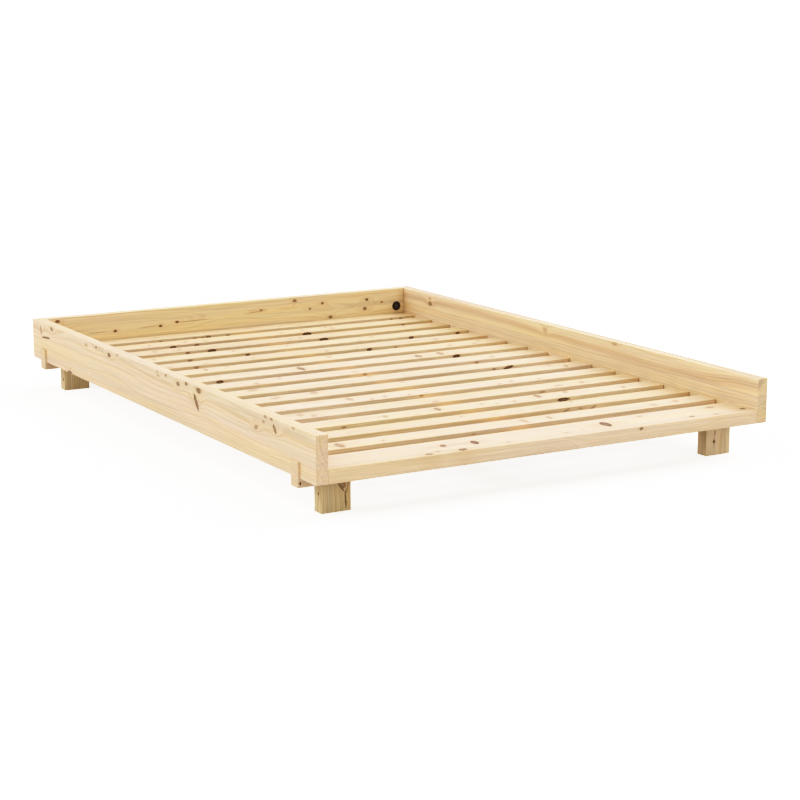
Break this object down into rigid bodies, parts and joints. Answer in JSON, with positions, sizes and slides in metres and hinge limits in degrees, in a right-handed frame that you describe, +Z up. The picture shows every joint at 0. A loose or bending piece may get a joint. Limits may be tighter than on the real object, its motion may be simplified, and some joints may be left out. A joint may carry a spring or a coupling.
{
  "type": "bed frame",
  "caption": "Low pine platform bed frame, open at the foot: raised side and head rails, slats on ledgers and a centre rail, short block legs under cross bars that pass through the side rails.",
  "frame": {"origin": "on the floor, in the middle of the frame's outer box", "axes": "+X across the bed, +Y from the open foot end to the head rail, +Z up"},
  "size_m": [1.494, 2.05, 0.234],
  "materials": {
    "rail_pine": "planed and lacquered clear, matt",
    "slat_pine": "planed, untreated",
    "leg_pine": "planed and lacquered clear, matt",
    "support_pine": "planed, untreated",
    "beech_dowel": "turned beech",
    "tape_webbing": "woven cotton tape",
    "black_plastic": "moulded, satin",
    "bronzed_steel": "dark plated",
    "zinc_steel": "zinc plated"
  },
  "bodies": {
    "root": {"bracket_screws": "zinc_steel", "cam_foot_left": "bronzed_steel", "cam_foot_right": "bronzed_steel", "cam_head_left": "bronzed_steel", "cam_head_right": "bronzed_steel", "cam_housing_foot_left": "black_plastic", "cam_housing_foot_right": "black_plastic", "cam_housing_head_left": "black_plastic", "cam_housing_head_right": "black_plastic", "centre_bracket_front_left": "zinc_steel", "centre_bracket_front_right": "zinc_steel", "centre_bracket_rear_left": "zinc_steel", "centre_bracket_rear_right": "zinc_steel", "centre_leg": "leg_pine", "centre_leg_screws": "zinc_steel", "centre_rail": "support_pine", "corner_dowels": "beech_dowel", "cross_bar_front": "leg_pine", "cross_bar_rear": "leg_pine", "foot_board": "rail_pine", "foot_board_screws": "zinc_steel", "head_rail": "rail_pine", "ledger_left": "support_pine", "ledger_right": "support_pine", "ledger_screws": "zinc_steel", "leg_dowels": "beech_dowel", "leg_front_left": "leg_pine", "leg_front_right": "leg_pine", "leg_rear_left": "leg_pine", "leg_rear_right": "leg_pine", "leg_screws": "zinc_steel", "rail_bolts": "zinc_steel", "rail_inserts": "zinc_steel", "side_rail_left": "rail_pine", "side_rail_right": "rail_pine", "slat_01": "slat_pine", "slat_02": "slat_pine", "slat_03": "slat_pine", "slat_04": "slat_pine", "slat_05": "slat_pine", "slat_06": "slat_pine", "slat_07": "slat_pine", "slat_08": "slat_pine", "slat_09": "slat_pine", "slat_10": "slat_pine", "slat_11": "slat_pine", "slat_12": "slat_pine", "slat_13": "slat_pine", "slat_14": "slat_pine", "slat_15": "slat_pine", "slat_screws": "zinc_steel", "slat_tape_left": "tape_webbing", "slat_tape_right": "tape_webbing", "tape_staples": "zinc_steel", "tie_bolt_foot_left": "zinc_steel", "tie_bolt_foot_right": "zinc_steel", "tie_bolt_head_left": "zinc_steel", "tie_bolt_head_right": "zinc_steel"}
  },
  "joints": []
}
